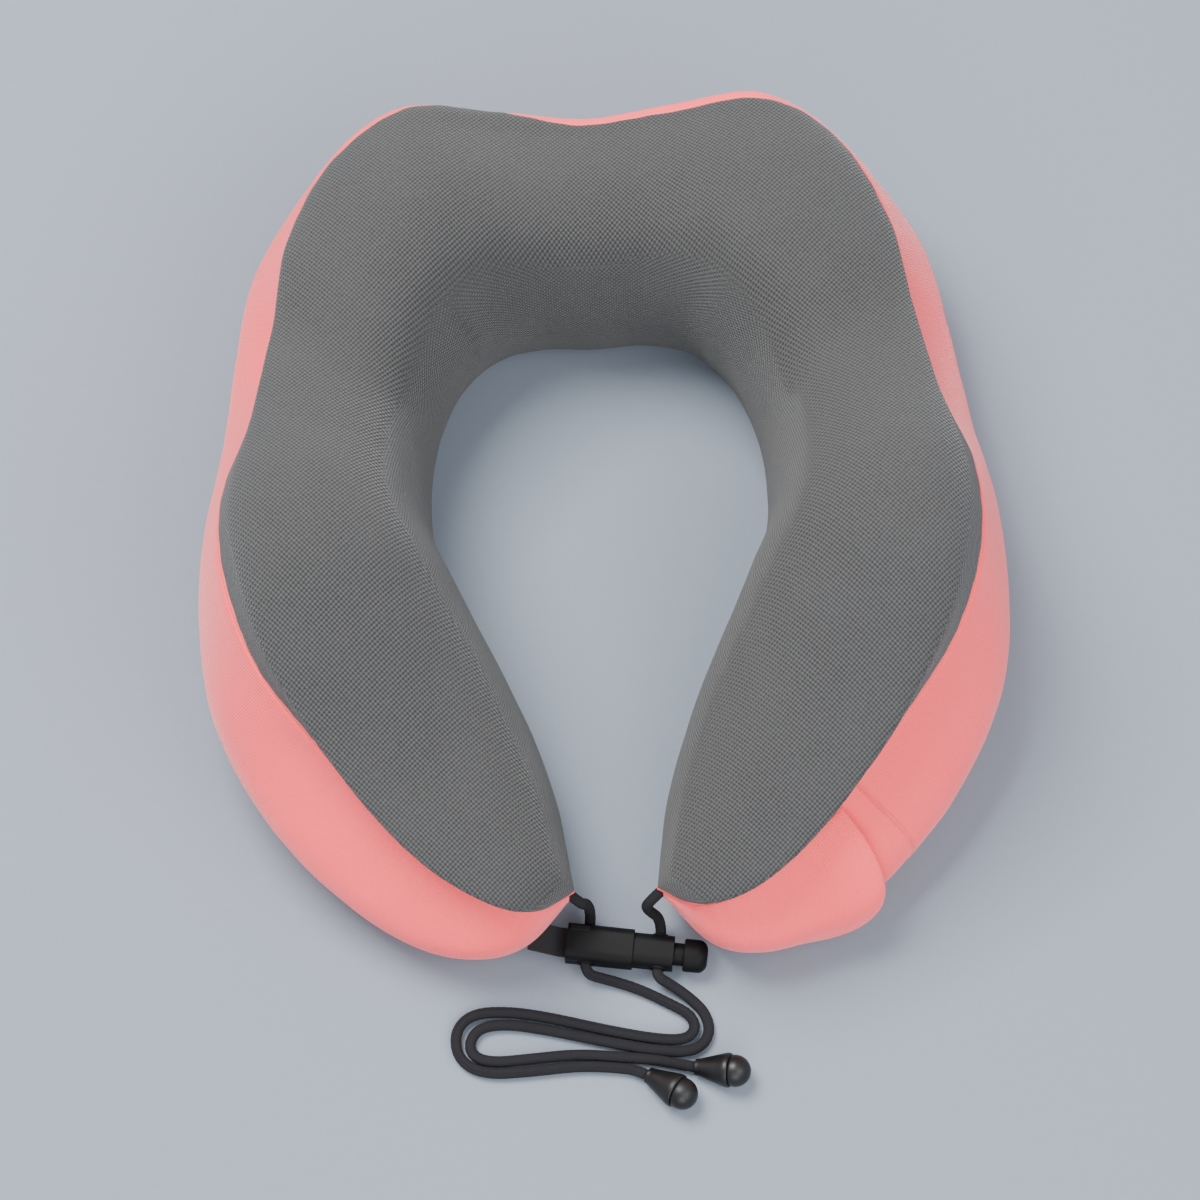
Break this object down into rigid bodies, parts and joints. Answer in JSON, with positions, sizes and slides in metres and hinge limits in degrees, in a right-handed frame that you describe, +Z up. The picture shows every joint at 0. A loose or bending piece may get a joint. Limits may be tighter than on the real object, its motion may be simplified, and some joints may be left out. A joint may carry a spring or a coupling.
{
  "type": "neck pillow",
  "caption": "U-shaped foam travel neck pillow with a knit top, a stretch side cover with a phone pocket, a zip underneath, and a cord lock with two drawcords at the front.",
  "frame": {"origin": "middle of the pillow's outline, on the surface that it lies on", "axes": "+X to the pocket arm, +Y to the back of the neck, -Y out of the open front, +Z up"},
  "size_m": [0.281, 0.3506, 0.1218],
  "materials": {
    "foam": "open-cell memory foam, matt",
    "knit_grey": "fine two-tone mesh knit, dark grey",
    "stretch_pink": "smooth stretch jersey, coral pink, slight sheen",
    "zip_tape": "woven polyester tape",
    "zip_coil": "nylon coil",
    "zip_metal": "enamelled zinc",
    "black_plastic": "moulded, satin",
    "spring_steel": "bright drawn wire",
    "webbing": "flat woven webbing",
    "cord": "braided polyester cord"
  },
  "bodies": {
    "pillow": {"foam_core": "foam", "top_panel": "knit_grey", "side_panel": "stretch_pink", "pocket_backing": "stretch_pink", "pocket_panel": "stretch_pink", "pocket_hem": "stretch_pink", "bottom_panel": "stretch_pink", "zipper_tape_outer": "zip_tape", "zipper_tape_inner": "zip_tape", "zipper_coil_outer": "zip_coil", "zipper_coil_inner": "zip_coil", "zipper_top_stop": "zip_metal", "zipper_bottom_stop": "zip_metal", "lock_housing": "black_plastic", "lock_spring": "spring_steel", "lock_tab": "webbing", "cord_left": "cord", "cord_right": "cord", "cord_anchor_left": "cord", "cord_anchor_right": "cord", "bell_sleeve_left": "black_plastic", "bell_sleeve_right": "black_plastic", "bell_cap_left": "black_plastic", "bell_cap_right": "black_plastic", "bell_knot_left": "cord", "bell_knot_right": "cord"},
    "zipper_slider": {"zipper_slider": "zip_metal"},
    "zipper_pull": {"zipper_pull": "zip_metal"},
    "lock_plunger": {"lock_plunger": "black_plastic"}
  },
  "joints": [
    {"name": "zipper_travel", "type": "hinge", "parent": "pillow", "child": "zipper_slider", "pos_m": [0, 0.025, 0.0035], "axis": [0, 0, -1], "range_deg": [0, 99]},
    {"name": "zipper_pull_swing", "type": "hinge", "parent": "zipper_slider", "child": "zipper_pull", "pos_m": [-0.06789, 0.08101, 0.00155], "axis": [-0.7604, 0.6494, 0], "range_deg": [0, 180]},
    {"name": "lock_button_press", "type": "slide", "parent": "pillow", "child": "lock_plunger", "axis": [-0.989, 0.1478, 0], "range_m": [0, 0.003], "stiffness_N_per_m": 1500, "springref_m": -0.003, "deforming": ["lock_spring"]}
  ]
}
